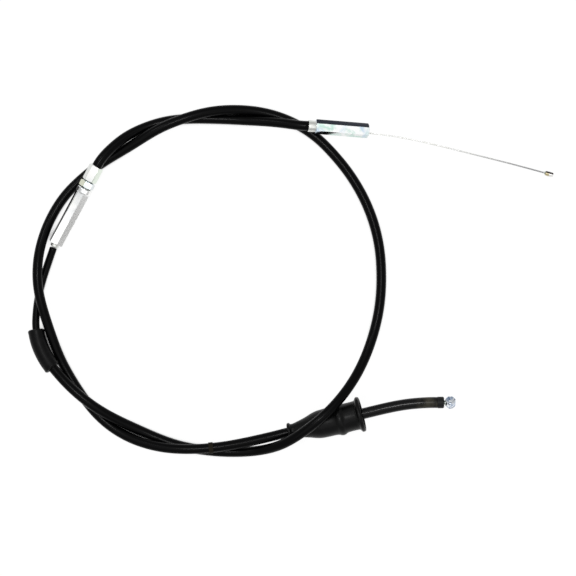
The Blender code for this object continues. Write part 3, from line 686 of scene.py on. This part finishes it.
def makeCarbEnd():
    line = easedLine(smoothLine([spot(point) for point in carbWireRoute]), 5 * mm, 1 * mm)
    path = evenLine(line, 0.45 * mm)
    wire = strandedWire("carbWire", path, carbWire["radius"] * mm, carbWire["strands"], carbWire["lay"])
    dress(wire, "root", "wireSteel", ["carb_wire"])
    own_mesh(wire)
    place = axisPlace(spot(carbNipple["at"]), spot(carbNipple["to"]))
    wide, long = carbNipple["radius"], carbNipple["length"]
    barrel = [(0, 0.0, 0), (0.75, 0.0, 0.1), (wide, 0.35, 0.3), (wide, long - 0.4, 0.35),
              (wide - 0.35, long, 0.2), (1.0, long, 0.1), (0.8, long - 0.35, 0.2), (0, long - 0.2, 0)]
    nipple = turned("carbNipple", roundedProfile(barrel), place)
    dress(nipple, "carb_end", "nippleBrass", ["carb_nipple"])
    blob = [(0, -0.75, 0), (0.66, -0.7, 0.2), (0.8, -0.25, 0.3), (1.1, 0.1, 0.1), (0, 0.2, 0)]
    dress(turned("carbNippleSolder", roundedProfile(blob), place, 32), "carb_end", "solder")


makeCarbEnd()
print("ferrule, bare wire and small nipple made")


adjuster = {"top": (97.4, 166.6, 11.3), "bottom": (53.6, 247.1, 5.1), "length": 57.3, "flats": 8.1,
            "head": 10.6, "nut": (10.9, 15.2), "nutFlats": 8.4, "barrel": (15.5, 55.4), "collar": (4.0, 5.1),
            "rolls": {"head": math.radians(33), "nut": math.radians(16), "barrel": math.radians(43)}}


def makeAdjuster():
    place = axisPlace(spot(adjuster["top"]), spot(adjuster["bottom"]))
    rolled = {key: place @ Matrix.Rotation(roll, 4, "Z") for key, roll in adjuster["rolls"].items()}
    head = hexBar("adjusterHead", 0.0, adjuster["head"], adjuster["flats"], 0.9, 0.7, rolled["head"])
    mouth = [(0, -1, 0), (3.55, -1, 0), (3.4, 0.35, 0), (3.4, 6.5, 0), (2.8, 6.5, 0), (2.8, 11, 0), (0, 11, 0)]
    carve(head, turned("tool", roundedProfile(mouth), place, 48), "DIFFERENCE")
    dress(softEdges(head, 0.16), "root", "headZinc", ["adjuster_head"])

    low, high = adjuster["nut"]
    nut = hexBar("adjusterLockNut", low, high, adjuster["nutFlats"], 0.7, 0.7, rolled["nut"])
    hole = [(0, low - 1, 0), (2.75, low - 1, 0), (2.75, high + 1, 0), (0, high + 1, 0)]
    carve(nut, turned("tool", roundedProfile(hole), place, 48), "DIFFERENCE")
    dress(softEdges(nut, 0.16), "lock_nut", "nutZinc", ["adjuster_lock_nut"])

    first, last = adjuster["barrel"]
    step, wide = adjuster["collar"]
    corner = adjuster["flats"] / math.sqrt(3)
    bar = hexBar("adjusterBarrel", first, last, adjuster["flats"], 0.6, 1.6, rolled["barrel"])
    flange = [(0, first, 0), (corner - 0.5, first, 0.2), (wide - 0.15, first + 0.5, 0.3),
              (wide - 0.15, first + step - 0.8, 0.4), (corner - 0.55, first + step, 0.2),
              (0, first + step, 0)]
    carve(bar, turned("tool", roundedProfile(flange), place, 72), "UNION")
    hole = [(0, first - 1, 0), (2.75, first - 1, 0), (2.75, 34.3, 0), (1.1, 34.3, 0), (1.1, 46.4, 0),
            (3.0, 46.4, 0), (3.0, last - 0.25, 0), (3.25, last + 0.05, 0), (3.25, last + 1, 0),
            (0, last + 1, 0)]
    carve(bar, turned("tool", roundedProfile(hole), place, 48), "DIFFERENCE")
    dress(softEdges(bar, 0.16), "adjuster_barrel", "barrelZinc", ["adjuster_barrel"])

    end = adjuster["length"]
    collar = [(1.1, last - 6, 0), (2.7, last - 6, 0), (2.7, end, 0.6), (1.1, end, 0.2), (1.1, last - 6, 0)]
    endCollar = turned("adjusterEndCollar", roundedProfile(collar), place)
    dress(endCollar, "root", "capZinc", ["adjuster_end_collar"])


makeAdjuster()
plainNodes = {"adjuster_screw": "capZinc", "adjuster_upper_end_cap": "capZinc",
              "adjuster_inner_wire": "wireSteel"}
for node, finish in plainNodes.items():
    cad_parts[node].data.materials.clear()
    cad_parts[node].data.materials.append(finishes[finish])
print("adjuster made")


boot = {
    "outside": [(4.9, 0.0), (5.5, 0.5), (5.5, 1.6), (4.9, 2.1), (4.5, 2.8), (5.2, 7.0), (6.6, 12.5),
                (7.8, 16.0), (8.65, 19.6), (8.95, 24.0), (9.1, 29.4), (9.4, 31.0), (10.0, 32.4),
                (10.2, 33.6), (10.0, 34.8), (9.4, 36.0), (9.15, 37.2), (9.1, 42.6), (9.3, 44.3),
                (10.3, 45.0), (11.0, 45.6), (11.1, 46.5), (10.7, 47.4), (10.2, 47.7)],
    "inside": [(9.6, 47.6), (9.35, 46.8), (9.3, 44.0), (8.6, 42.6), (8.1, 39.5), (7.5, 34.0), (7.0, 28.0),
               (6.3, 20.0), (5.2, 15.0), (4.2, 11.5), (3.8, 8.5), (3.75, 4.0), (3.3, 2.4), (3.3, 0.3)],
}
pipe = {"radius": 3.45, "bore": 2.5, "start": 318.0, "end": 436.6}
pipeRoute = [(388.0, 407.2, 12.6), (398.0, 405.1, 13.0), (409.0, 403.4, 13.4), (419.0, 402.5, 13.7),
             (430.0, 402.0, 13.9), (pipe["end"], 402.0, 14.0)]
throttle = {"from": (387.0, 406.0, 12.9), "to": (443.4, 402.1, 14.0), "wire": 0.75, "length": 35.0 * mm,
            "at": (449.6, 401.9, 14.2), "lean": math.radians(41), "radius": 3.2, "long": 5.0}


def softProfile(points):
    line = smoothLine([Vector((radius, 0, station)) for radius, station in points], 5)
    return [Vector((point.x, point.z)) * mm for point in line]


def makeThrottleEnd():
    place = axisPlace(bootPoint(bootAxis["start"]), bootPoint(bootAxis["start"] + 10))
    outline = softProfile(boot["outside"]) + softProfile(boot["inside"])
    made = turned("throttleBoot", outline + outline[:1], place, 96, 60)
    dress(made, "boot", "bootRubber", ["throttle_boot"])

    straight = [bootPoint(across) for across in (pipe["start"], 334.0, 350.0, 364.0, 376.0)]
    line = easedLine(smoothLine(straight + [spot(point) for point in pipeRoute]), 4 * mm, 1 * mm)
    body = tube("throttlePipe", evenLine(line, 1.5 * mm), pipe["radius"] * mm, 12)
    ahead, back = line[-1] - line[-3], line[0] - line[2]
    through = evenLine([line[0] + back, *line, line[-1] + ahead], 1.5 * mm)
    carve(body, tube("tool", through, pipe["bore"] * mm, 8), "DIFFERENCE")
    softEdges(body, 0.25, 3, 50)
    dress(body, "root", "pipePaint", ["throttle_pipe"])

    face = line[-1]
    along = (line[-1] - line[-6]).normalized()
    plug = [(1.6, -4, 0), (2.2, -4, 0.3), (2.2, 0, 0), (3.45, 0, 0.2), (3.6, 0.4, 0.2), (3.6, 3.7, 0.5),
            (3.0, 4.2, 0.2), (2.5, 4.2, 0.2), (1.6, 2.0, 0.2), (1.6, -4, 0)]
    seal = axisPlace(face + along * 0.05 * mm, face + along)
    rubberEnd = turned("pipeEndSeal", roundedProfile(plug), seal)
    dress(rubberEnd, "root", "sealRubber", ["pipe_end_seal"])

    end = spot(throttle["to"])
    pull = (end - spot(throttle["from"])).normalized()
    tail = [end - pull * throttle["length"], end + pull * 0.4 * mm]
    wire = strandedWire("throttleWireTail", evenLine(tail, 0.5 * mm), throttle["wire"] * mm, 7, 8 * mm)
    dress(wire, "throttle_end", "wireSteel", ["throttle_wire_tail"])
    neck = [(0, -2.6, 0), (0.8, -2.6, 0.1), (1.0, -1.6, 0.4), (1.15, -0.4, 0.4), (1.5, 0.9, 0.3), (0, 1.2, 0)]
    solder = turned("throttleNippleNeck", roundedProfile(neck), axisPlace(end, end + pull), 32)
    dress(solder, "throttle_end", "solder")

    centre = spot(throttle["at"])
    lean = Vector((0, math.sin(throttle["lean"]), math.cos(throttle["lean"])))
    tall, wide = throttle["long"] / 2, throttle["radius"]
    barrel = [(0, -tall, 0), (wide, -tall, 0.55), (wide, tall, 0.5), (1.15, tall, 0.15),
              (0.95, tall - 0.3, 0.2), (0, tall - 0.25, 0)]
    dress(turned("throttleNipple", roundedProfile(barrel), axisPlace(centre, centre + lean)), "throttle_end",
          "nippleSilver", ["throttle_nipple"])


makeThrottleEnd()
print("boot, pipe and throttle end made")

print("done")
